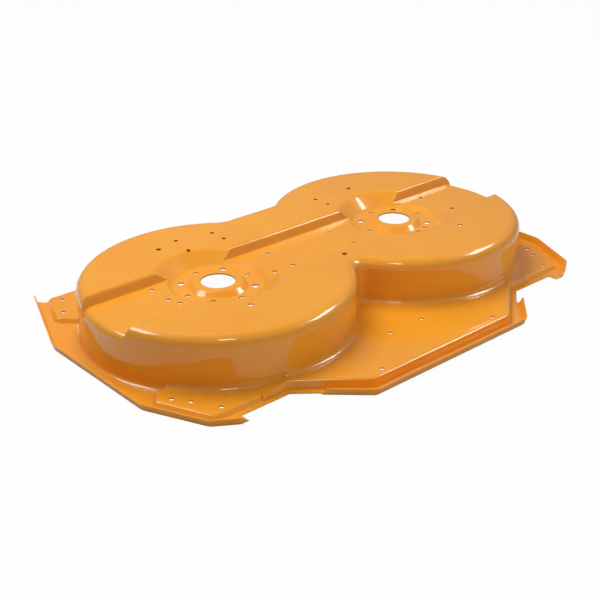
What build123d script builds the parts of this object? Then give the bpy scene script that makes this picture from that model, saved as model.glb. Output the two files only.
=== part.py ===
import os
from math import cos, radians, tan

from build123d import *

# Lawn mower deck: one pressed sheet-steel shell with two blade drums.
# X runs from the left spindle to the right one, Y to the back, Z up.
# It is drawn about the point midway between the spindles, at ground level, and then
# moved along Y so that the origin lies under the middle of its outline.

# Sheet and overall levels, measured up from the ground to the upper surface
sheet = 2.5
floor_level = sheet
pad_rise = 9.0
plateau_rise = 18.0
lip_height = 15.0
lip_lean = 18.0
deck_height = 117.5

# Blade drums
spindle_spacing = 500.0
drum_radius = 278.0
drum_top_round = 22.0
drum_foot_round = 12.0
web_back = 215.0
web_half_width = 130.0
front_crotch_round = 25.0
back_crotch_round = 30.0

# Belt channel across the drum tops
channel_depth = 20.0
channel_half_width = 80.0
channel_wall_angle = 22.0
channel_end_round = 17.0
channel_mid_round = 20.0
channel_lip_round = 9.0

# Hub pockets and spindle seats
pocket_depth = 28.0
pocket_top_radius = 127.0
pocket_floor_radius = 90.0
pocket_top_round = 22.0
pocket_floor_round = 16.0
cut_margin = 30.0
hub_rise = 9.5
hub_top_radius = 50.0
hub_foot_radius = 61.0
hub_round = 6.0
spindle_hole_radius = 34.8
bolt_circle_radius = 74.5
bolt_hole_radius = 7.0
bolt_slot_length = 13.0
bolt_slot_width = 7.0

# Flange outline, right half; the left half mirrors it
side_x = 561.0
side_back_y = 125.0
side_front_y = -171.0
back_tip_y = 338.0
back_tip_x = 479.0
shoulder_x = 504.0
shoulder_y = -296.0
bay_y = -328.0
bay_outer_x = 455.0
nose_half_width = 213.0
nose_y = -414.0
nose_root_x = 305.0
outline_round = 22.0
lip_bend_round = 4.0

# Trimmed bays where the gutter and its lip are cut away
trim_outer_x = 436.0
lip_end_x = 454.0
trim_inner_x = 323.0
trim_y = -299.0
trim_nose_x = 280.0
trim_nose_y = -334.0
back_edge_y = 313.0
back_edge_x = 455.0

# Raised plateau in front and pads at the corners
plateau_half_width = 192.0
plateau_y = -385.0
plateau_root_x = 314.0
plateau_root_y = -287.0
plateau_corner_round = 24.0
plateau_wall_angle = 8.0
ramp_foot_x = 374.0
pad_wall_angle = 38.0
pad_corner_round = 10.0
pressed_edge_round = 6.0
pad_front_y = -281.0
pad_front_x = 479.0
pad_side_x = 527.0
pad_side_y = -174.0
pad_notch_x = 512.0
pad_notch_y = -154.0
back_pad_x = 489.0
back_pad_y = 226.0
back_pad_slant = 30.0
back_pad_tail_x = 369.0
back_pad_tail_y = 373.0
back_pad_turn_x = 444.0
back_pad_turn_y = 338.0

# Small holes, as places in plan
small_hole_radius = 4.5
large_hole_radius = 5.5
large_holes = [(-272, 170), (272, 170), (-294, -156), (294, -156), (0, -101)]
small_holes = [
    (-218, 184), (-135, 168), (-135, 127), (-228, 127), (165, 168), (165, 127),
    (-87, 39), (87, 39), (-87, -39), (87, -39), (-136, -39),
    (-371, 54), (-372, -2), (-364, -29), (393, 51), (397, -43), (277, -68),
    (-438, 292), (-467, 240), (438, 292), (467, 240),
    (-503, -187), (-483, -217), (-453, -267), (503, -187), (483, -217), (453, -267),
    (-45, -280), (45, -280), (-158, -369), (158, -369),
]

half_spacing = spindle_spacing / 2
lip_reach = (floor_level + lip_height) * tan(radians(lip_lean))
below = 5.0
far = 900.0


def drum_plan(inset):
    """Outline of both drums and the web between them."""
    with BuildSketch() as plan:
        with Locations((-half_spacing, 0), (half_spacing, 0)):
            Circle(drum_radius - inset)
        with Locations((0, (web_back - inset) / 2)):
            Rectangle(2 * web_half_width, web_back - inset)
        front = plan.vertices().group_by(Axis.Y)[0]
        fillet(front, front_crotch_round + inset)
        back = plan.vertices().group_by(Axis.Y)[-1]
        fillet(back, back_crotch_round + inset)
    return plan.sketch


def drum_on_sheet(level, inset):
    """Drums up to the channel floor, rising from a wide sheet at the given level."""
    channel_floor = deck_height - channel_depth - inset
    with BuildPart() as body:
        with BuildSketch(Plane.XY.offset(-below)):
            Rectangle(2 * far, 2 * far)
        extrude(amount=level - inset + below)
        with BuildSketch(Plane.XY.offset(-below)):
            add(drum_plan(inset))
        extrude(amount=channel_floor + below)
        foot = body.edges().filter_by_position(Axis.Z, level - inset, level - inset)
        rims = foot.filter_by_position(Axis.X, -far + 1, far - 1).filter_by_position(Axis.Y, -far + 1, far - 1)
        fillet(rims, drum_foot_round + inset)
        top = body.faces().sort_by(Axis.Z)[-1].edges()
        fillet(top, channel_end_round - inset)
    return body.part


def mirrored(points):
    """Closed outline from its right half, listed from the back round to the front."""
    return points + [(-x, y) for x, y in reversed(points)]


def raised_block(points, level, wall_angle, inset):
    """Sloping-sided block whose upper edge at the level follows the points, softened."""
    top = level - inset
    draw_in = inset / cos(radians(wall_angle)) - inset * tan(radians(wall_angle))
    with BuildPart() as block:
        with BuildSketch(Plane.XY.offset(top)) as upper:
            with BuildLine():
                Polyline(*points, close=True)
            make_face()
            if inset > 0:
                offset(amount=-draw_in, kind=Kind.INTERSECTION)
            fillet(upper.vertices(), pad_corner_round - inset)
        extrude(amount=-(top + below), taper=-wall_angle)
        fillet(block.faces().sort_by(Axis.Z)[-1].edges(), pressed_edge_round - inset)
    return block.part


def front_plateau(inset):
    """Plateau in front of the drums, with a ramp down to the pad at either end."""
    top = floor_level + plateau_rise - inset
    foot = floor_level + pad_rise - inset
    draw_in = inset / cos(radians(plateau_wall_angle)) - inset * tan(radians(plateau_wall_angle))
    with BuildPart() as block:
        with BuildSketch(Plane.XY.offset(top)) as upper:
            with BuildLine():
                Polyline(*plateau_points, close=True)
            make_face()
            if inset > 0:
                offset(amount=-draw_in, kind=Kind.INTERSECTION)
            corners = upper.vertices().group_by(Axis.Y)
            fillet(corners[0], plateau_corner_round - inset)
            roots = upper.vertices().filter_by_position(Axis.X, -plateau_root_x - below, plateau_root_x + below)
            fillet(roots.group_by(Axis.Y)[-1], plateau_corner_round + inset)
        extrude(amount=-(top + below), taper=-plateau_wall_angle)
        fillet(block.faces().sort_by(Axis.Z)[-1].edges(), pressed_edge_round - inset)
        with BuildSketch(Plane.XZ):
            with BuildLine():
                Polyline(
                    (plateau_root_x, top), (ramp_foot_x, foot), (ramp_foot_x + cut_margin, foot),
                    (ramp_foot_x + cut_margin, top + cut_margin), (plateau_root_x, top + cut_margin),
                    close=True,
                )
            make_face()
            mirror(about=Plane.YZ)
        extrude(amount=far, both=True, mode=Mode.SUBTRACT)
    return block.part


def foot_at(points, level, inset):
    """Foot round of the drums where they rise from a raised block."""
    with BuildPart() as foot:
        add(drum_on_sheet(level, inset))
        with BuildSketch(Plane.XY.offset(-below)):
            with BuildLine():
                Polyline(*points, close=True)
            make_face()
            offset(amount=-pressed_edge_round, kind=Kind.INTERSECTION)
        extrude(amount=deck_height, mode=Mode.INTERSECT)
    return foot.part


plateau_points = mirrored([
    (ramp_foot_x, 0),
    (ramp_foot_x, plateau_root_y),
    (plateau_root_x, plateau_root_y),
    (plateau_half_width, plateau_y),
])
plateau_top_points = mirrored([
    (plateau_root_x, 0),
    (plateau_root_x, plateau_root_y),
    (plateau_half_width, plateau_y),
])
front_pad_points = [
    (half_spacing, 0),
    (half_spacing, pad_front_y),
    (pad_front_x, pad_front_y),
    (pad_side_x, pad_side_y),
    (pad_notch_x, pad_notch_y),
]
back_pad_points = mirrored([
    (back_pad_tail_x, back_pad_tail_y),
    (back_pad_turn_x, back_pad_turn_y),
    (back_pad_x, back_pad_y),
    (back_pad_x - back_pad_slant, back_pad_y - back_pad_slant),
])
outline_points = mirrored([
    (2 * back_tip_x - side_x, 2 * back_tip_y - side_back_y),
    (side_x, side_back_y),
    (side_x, side_front_y),
    (shoulder_x, shoulder_y),
    (bay_outer_x, bay_y),
    (nose_root_x, bay_y),
    (nose_half_width, nose_y),
])


def outline_plan(inset):
    """Outer edge of the flange before trimming."""
    with BuildSketch() as plan:
        with BuildLine():
            Polyline(*outline_points, close=True)
        make_face()
        corners = plan.vertices().filter_by_position(Axis.Y, -far, back_edge_y)
        fillet(corners, outline_round)
        if inset > 0:
            offset(amount=-inset, kind=Kind.INTERSECTION)
    return plan.sketch


def channel_cut(inset, start, length, round_floor):
    """Trough along X that parts the drum tops into a back and a front lobe."""
    top = deck_height - inset
    slope = tan(radians(channel_wall_angle))
    shift = inset / cos(radians(channel_wall_angle)) - inset * slope
    upper = channel_half_width + shift
    depth = channel_depth if round_floor else deck_height - channel_end_round
    lower = upper - depth * slope
    with BuildPart() as trough:
        with BuildSketch(Plane.YZ.offset(start)) as profile:
            with BuildLine():
                Polyline(
                    (-upper - cut_margin, top), (-upper, top), (-lower, top - depth), (lower, top - depth),
                    (upper, top), (upper + cut_margin, top), (upper + cut_margin, top + cut_margin),
                    (-upper - cut_margin, top + cut_margin),
                    close=True,
                )
            make_face()
            inner = profile.vertices().filter_by_position(Axis.X, -upper - 1, upper + 1)
            fillet(inner.group_by(Axis.Y)[1], channel_lip_round - inset)
            if round_floor:
                fillet(inner.group_by(Axis.Y)[0], channel_mid_round + inset)
        extrude(amount=length)
    return trough.part


def pocket_cut(inset):
    """Conical pocket round a spindle, open upwards, on the axis X = Y = 0."""
    top = deck_height - inset
    floor = deck_height - pocket_depth - inset
    with BuildPart() as pocket:
        with BuildSketch(Plane.XZ) as profile:
            with BuildLine():
                Polyline(
                    (0, floor), (pocket_floor_radius + inset, floor), (pocket_top_radius + inset, top),
                    (pocket_top_radius + cut_margin, top),
                    (pocket_top_radius + cut_margin, top + cut_margin), (0, top + cut_margin),
                    close=True,
                )
            make_face()
            fillet(profile.vertices().sort_by_distance((pocket_floor_radius, floor, 0))[0],
                   pocket_floor_round + inset)
            fillet(profile.vertices().sort_by_distance((pocket_top_radius, top, 0))[0],
                   pocket_top_round - inset)
        revolve(axis=Axis.Z)
    return pocket.part


def hub_seat(inset):
    """Raised ring round the spindle hole."""
    floor = deck_height - pocket_depth
    with BuildPart() as seat:
        with BuildSketch(Plane.XZ) as profile:
            with BuildLine():
                Polyline(
                    (0, floor - pocket_depth), (hub_foot_radius - inset, floor - pocket_depth),
                    (hub_foot_radius - inset, floor - inset),
                    (hub_top_radius - inset, floor + hub_rise - inset), (0, floor + hub_rise - inset),
                    close=True,
                )
            make_face()
            shoulder = profile.vertices().sort_by_distance((hub_top_radius, floor + hub_rise, 0))[0]
            fillet(shoulder, hub_round - inset)
        revolve(axis=Axis.Z)
    return seat.part


def pressed_form(inset):
    """Solid under the sheet's upper surface, drawn in by the inset on every side."""
    plateau_level = floor_level + plateau_rise
    pad_level = floor_level + pad_rise
    with BuildPart() as pads:
        add(raised_block(front_pad_points, pad_level, pad_wall_angle, inset))
        add(foot_at(front_pad_points, pad_level, inset))
        mirror(about=Plane.YZ)
        add(raised_block(back_pad_points, pad_level, pad_wall_angle, inset))
        add(foot_at(back_pad_points, pad_level, inset))
    with BuildPart() as lobes:
        with BuildSketch():
            add(drum_plan(inset))
        extrude(amount=deck_height - inset)
        fillet(lobes.faces().sort_by(Axis.Z)[-1].edges(), drum_top_round - inset)
        add(channel_cut(inset, -half_spacing, spindle_spacing, True), mode=Mode.SUBTRACT)
        add(channel_cut(inset, half_spacing, far, False), mode=Mode.SUBTRACT)
        add(channel_cut(inset, -half_spacing - far, far, False), mode=Mode.SUBTRACT)
    with BuildPart() as whole:
        add(drum_on_sheet(floor_level, inset))
        add(pads.part)
        add(front_plateau(inset))
        add(foot_at(plateau_top_points, plateau_level, inset))
        add(lobes.part)
        with Locations((-half_spacing, 0), (half_spacing, 0)):
            add(pocket_cut(inset), mode=Mode.SUBTRACT)
            add(hub_seat(inset))
        with BuildSketch(Plane.XY.offset(-below)):
            add(outline_plan(lip_bend_round + sheet + lip_reach))
        extrude(amount=deck_height + 2 * below, mode=Mode.INTERSECT)
    return whole.part


def gutter_tray():
    """Flange floor with its turned-up lip, which leans outwards."""
    with BuildPart() as tray:
        with BuildSketch(Plane.XY.offset(floor_level + lip_height)):
            add(outline_plan(0))
        extrude(amount=-(floor_level + lip_height), taper=lip_lean)
        fillet(tray.faces().sort_by(Axis.Z)[0].edges(), lip_bend_round + sheet)
    with BuildPart() as hollow:
        with BuildSketch(Plane.XY.offset(floor_level + lip_height)):
            add(outline_plan(sheet / cos(radians(lip_lean))))
        extrude(amount=-lip_height, taper=lip_lean)
        fillet(hollow.faces().sort_by(Axis.Z)[0].edges(), lip_bend_round)
    with BuildPart() as gutter:
        add(tray.part)
        add(hollow.part, mode=Mode.SUBTRACT)
    return gutter.part


def trim_plan():
    """Plan of what is cut away at the two front bays and along the back."""
    bay = [
        (trim_outer_x, trim_y),
        (trim_inner_x, trim_y),
        (trim_nose_x, trim_nose_y),
        (trim_nose_x, nose_y - far),
        (trim_outer_x, nose_y - far),
    ]
    cut_run = back_tip_x - back_edge_x
    cut_rise = back_tip_y - back_edge_y
    back = mirrored([
        (back_edge_x + 3 * cut_run, back_tip_y + far),
        (back_edge_x + 3 * cut_run, back_edge_y + 3 * cut_rise),
        (back_edge_x, back_edge_y),
    ])
    with BuildSketch() as plan:
        with BuildLine():
            Polyline(*bay, close=True)
        make_face()
        mirror(about=Plane.YZ)
        with BuildLine():
            Polyline(*back, close=True)
        make_face()
    return plan.sketch


def hole_plan():
    """Plan of every hole that goes straight down through the sheet."""
    with BuildSketch() as plan:
        with Locations((-half_spacing, 0), (half_spacing, 0)):
            Circle(spindle_hole_radius)
            with PolarLocations(bolt_circle_radius, 4, start_angle=45):
                Circle(bolt_hole_radius)
            with PolarLocations(bolt_circle_radius, 4, rotate=False):
                SlotOverall(bolt_slot_length, bolt_slot_width)
        with Locations(*small_holes):
            Circle(small_hole_radius)
        with Locations(*large_holes):
            Circle(large_hole_radius)
    return plan.sketch


with BuildPart() as deck_shell:
    add(gutter_tray())
    add(pressed_form(0))
    add(pressed_form(sheet), mode=Mode.SUBTRACT)
    with BuildSketch(Plane.XY.offset(-below)):
        add(trim_plan())
        add(hole_plan())
    extrude(amount=deck_height + 2 * below, mode=Mode.SUBTRACT)
    with BuildSketch(Plane.XZ.offset(-trim_y)):
        with BuildLine():
            Polyline(
                (trim_outer_x, floor_level), (lip_end_x, floor_level + lip_height),
                (lip_end_x, deck_height), (trim_outer_x, deck_height),
                close=True,
            )
        make_face()
        mirror(about=Plane.YZ)
    extrude(amount=far, mode=Mode.SUBTRACT)

outline_middle_y = (back_tip_y + nose_y) / 2
deck_shell.part.position = (0, -outline_middle_y, 0)

os.makedirs("parts", exist_ok=True)
deck_shell.part.label = "deck_shell"
export_step(deck_shell.part, "parts/deck_shell.step")
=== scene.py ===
from math import radians

import bpy
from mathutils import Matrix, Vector


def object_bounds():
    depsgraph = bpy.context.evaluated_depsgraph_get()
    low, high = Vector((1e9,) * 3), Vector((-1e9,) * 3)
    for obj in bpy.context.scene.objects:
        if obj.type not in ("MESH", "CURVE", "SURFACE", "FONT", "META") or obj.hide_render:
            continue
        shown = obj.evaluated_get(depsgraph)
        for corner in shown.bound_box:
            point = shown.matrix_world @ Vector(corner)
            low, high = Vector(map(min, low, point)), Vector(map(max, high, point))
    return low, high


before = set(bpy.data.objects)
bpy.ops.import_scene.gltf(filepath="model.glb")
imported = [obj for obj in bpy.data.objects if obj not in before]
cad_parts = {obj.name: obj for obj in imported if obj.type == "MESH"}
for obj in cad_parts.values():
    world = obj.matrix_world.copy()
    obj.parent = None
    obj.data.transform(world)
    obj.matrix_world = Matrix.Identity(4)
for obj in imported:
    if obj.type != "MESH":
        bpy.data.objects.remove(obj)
cad_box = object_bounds()

# The photograph's camera, in metres and degrees, in the deck's own frame
CAMERA_PLACE = (-1.46998, -1.57949, 1.04250)
CAMERA_TILT = 63.97
CAMERA_TURN = -41.63
CAMERA_LENS = 67.45
CAMERA_REACH = 100.0
SENSOR_WIDTH = 36.0

# Orange enamel: two close shades in soft clouds under a clear coat
ENAMEL_COLOUR = (0.90, 0.360, 0.022)
ENAMEL_DEEP = (0.87, 0.335, 0.018)
CLOUD_SCALE = 6.0
CLOUD_DETAIL = 3.0
CLOUD_LOW = 0.35
CLOUD_HIGH = 0.60
ENAMEL_ROUGHNESS = 0.32
ROUGHNESS_SPREAD = 0.04
SMEAR_SCALE = 35.0
SMEAR_DETAIL = 4.0
SPECULAR_LEVEL = 0.25
COAT_WEIGHT = 0.9
COAT_ROUGHNESS = 0.06

# Orange peel in the enamel's surface
PEEL_SCALE = 900.0
PEEL_DETAIL = 1.0
PEEL_STRENGTH = 0.25
PEEL_DEPTH = 0.00004

# Studio floor and surroundings
FLOOR_SIZE = 30.0
FLOOR_COLOUR = (0.65, 0.65, 0.65, 1)
FLOOR_ROUGHNESS = 0.9
FLOOR_GLOW = 0.97
WORLD_LIGHT = 0.25
WORLD_SEEN = 1.0
WHITE = (1, 1, 1, 1)

# Lamps: name, place, size and watts. Lights only light the deck, gleams only show in its gloss.
LIT_POINT = Vector((0, 0, 0.1))
LIGHTS = [
    ("key", (-0.3, 0.9, 2.2), (1.8, 1.5), 52),
    ("front_fill", (0.5, -2.0, 1.9), (2.0, 1.0), 18),
]
GLEAMS = [
    ("right_gleam", (1.75, -0.82, 1.84), (1.3, 0.5), 26),
    ("left_gleam", (-1.58, 0.95, 1.94), (1.2, 0.7), 22),
    ("front_gleam", (-1.03, -1.32, 2.1), (0.4, 0.3), 6),
]


def node_material(name):
    """New node material, with its node tree and Principled shader."""
    material = bpy.data.materials.new(name)
    material.use_nodes = True
    tree = material.node_tree
    return material, tree, tree.nodes["Principled BSDF"]


def noise(tree, place, scale, detail):
    """Noise over the object's own coordinates."""
    texture = tree.nodes.new("ShaderNodeTexNoise")
    texture.inputs["Scale"].default_value = scale
    texture.inputs["Detail"].default_value = detail
    tree.links.new(place.outputs["Object"], texture.inputs["Vector"])
    return texture.outputs["Fac"]


def enamel_material():
    """Glossy stove enamel on pressed steel, with faint orange peel and uneven build."""
    material, tree, shader = node_material("orange_enamel")
    nodes, links = tree.nodes, tree.links
    place = nodes.new("ShaderNodeTexCoord")

    spread = nodes.new("ShaderNodeMapRange")
    spread.inputs["From Min"].default_value = CLOUD_LOW
    spread.inputs["From Max"].default_value = CLOUD_HIGH
    blend = nodes.new("ShaderNodeMix")
    blend.data_type = "RGBA"
    blend.inputs["A"].default_value = (*ENAMEL_DEEP, 1)
    blend.inputs["B"].default_value = (*ENAMEL_COLOUR, 1)
    links.new(noise(tree, place, CLOUD_SCALE, CLOUD_DETAIL), spread.inputs["Value"])
    links.new(spread.outputs["Result"], blend.inputs["Factor"])
    links.new(blend.outputs["Result"], shader.inputs["Base Color"])

    polish = nodes.new("ShaderNodeMapRange")
    polish.inputs["To Min"].default_value = ENAMEL_ROUGHNESS - ROUGHNESS_SPREAD
    polish.inputs["To Max"].default_value = ENAMEL_ROUGHNESS + ROUGHNESS_SPREAD
    links.new(noise(tree, place, SMEAR_SCALE, SMEAR_DETAIL), polish.inputs["Value"])
    links.new(polish.outputs["Result"], shader.inputs["Roughness"])

    bump = nodes.new("ShaderNodeBump")
    bump.inputs["Strength"].default_value = PEEL_STRENGTH
    bump.inputs["Distance"].default_value = PEEL_DEPTH
    links.new(noise(tree, place, PEEL_SCALE, PEEL_DETAIL), bump.inputs["Height"])
    links.new(bump.outputs["Normal"], shader.inputs["Normal"])

    shader.inputs["Specular IOR Level"].default_value = SPECULAR_LEVEL
    shader.inputs["Coat Weight"].default_value = COAT_WEIGHT
    shader.inputs["Coat Roughness"].default_value = COAT_ROUGHNESS
    return material


def floor_material():
    """Pale studio floor that keeps a faint shadow and shows white to the camera."""
    material, tree, shader = node_material("studio_floor")
    nodes, links = tree.nodes, tree.links
    shader.inputs["Base Color"].default_value = FLOOR_COLOUR
    shader.inputs["Roughness"].default_value = FLOOR_ROUGHNESS
    glow = nodes.new("ShaderNodeEmission")
    path = nodes.new("ShaderNodeLightPath")
    seen = nodes.new("ShaderNodeMath")
    seen.operation = "MULTIPLY"
    seen.inputs[1].default_value = FLOOR_GLOW
    mix = nodes.new("ShaderNodeMixShader")
    links.new(path.outputs["Is Camera Ray"], seen.inputs[0])
    links.new(seen.outputs["Value"], mix.inputs["Fac"])
    links.new(shader.outputs["BSDF"], mix.inputs[1])
    links.new(glow.outputs["Emission"], mix.inputs[2])
    links.new(mix.outputs["Shader"], nodes["Material Output"].inputs["Surface"])
    return material


def dress_deck():
    """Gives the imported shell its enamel."""
    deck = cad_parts["deck_shell"]
    deck.data.materials.clear()
    deck.data.materials.append(enamel_material())


def make_floor():
    """Floor at the deck's lowest level."""
    bpy.ops.mesh.primitive_plane_add(size=FLOOR_SIZE, location=(0, 0, cad_box[0][2]))
    floor = bpy.context.object
    floor.name = "studio_floor"
    floor.data.materials.append(floor_material())


def soft_box(name, place, size, power, gleam):
    """Rectangular lamp that faces the deck, for its gleam alone or for its light alone."""
    light = bpy.data.lights.new(name, "AREA")
    light.shape = "RECTANGLE"
    light.size, light.size_y = size
    light.energy = power
    lamp = bpy.data.objects.new(name, light)
    lamp.location = place
    lamp.rotation_euler = (LIT_POINT - Vector(place)).to_track_quat("-Z", "Y").to_euler()
    lamp.visible_glossy = gleam
    lamp.visible_diffuse = not gleam
    bpy.context.scene.collection.objects.link(lamp)


def make_lights():
    """Every lamp of the studio."""
    for name, place, size, power in LIGHTS:
        soft_box(name, place, size, power, False)
    for name, place, size, power in GLEAMS:
        soft_box(name, place, size, power, True)


def make_world():
    """Even studio surroundings, white where the camera sees them."""
    world = bpy.data.worlds.new("studio")
    bpy.context.scene.world = world
    world.use_nodes = True
    nodes, links = world.node_tree.nodes, world.node_tree.links
    path = nodes.new("ShaderNodeLightPath")
    level = nodes.new("ShaderNodeMapRange")
    level.inputs["To Min"].default_value = WORLD_LIGHT
    level.inputs["To Max"].default_value = WORLD_SEEN
    sky = nodes["Background"]
    sky.inputs["Color"].default_value = WHITE
    links.new(path.outputs["Is Camera Ray"], level.inputs["Value"])
    links.new(level.outputs["Result"], sky.inputs["Strength"])


def make_camera():
    """Camera at the photograph's view."""
    data = bpy.data.cameras.new("camera")
    data.lens = CAMERA_LENS
    data.sensor_width = SENSOR_WIDTH
    data.clip_end = CAMERA_REACH
    camera = bpy.data.objects.new("camera", data)
    camera.location = CAMERA_PLACE
    camera.rotation_euler = (radians(CAMERA_TILT), 0, radians(CAMERA_TURN))
    bpy.context.scene.collection.objects.link(camera)
    bpy.context.scene.camera = camera


dress_deck()
make_floor()
make_lights()
make_world()
make_camera()
bpy.context.scene.view_settings.view_transform = "Standard"
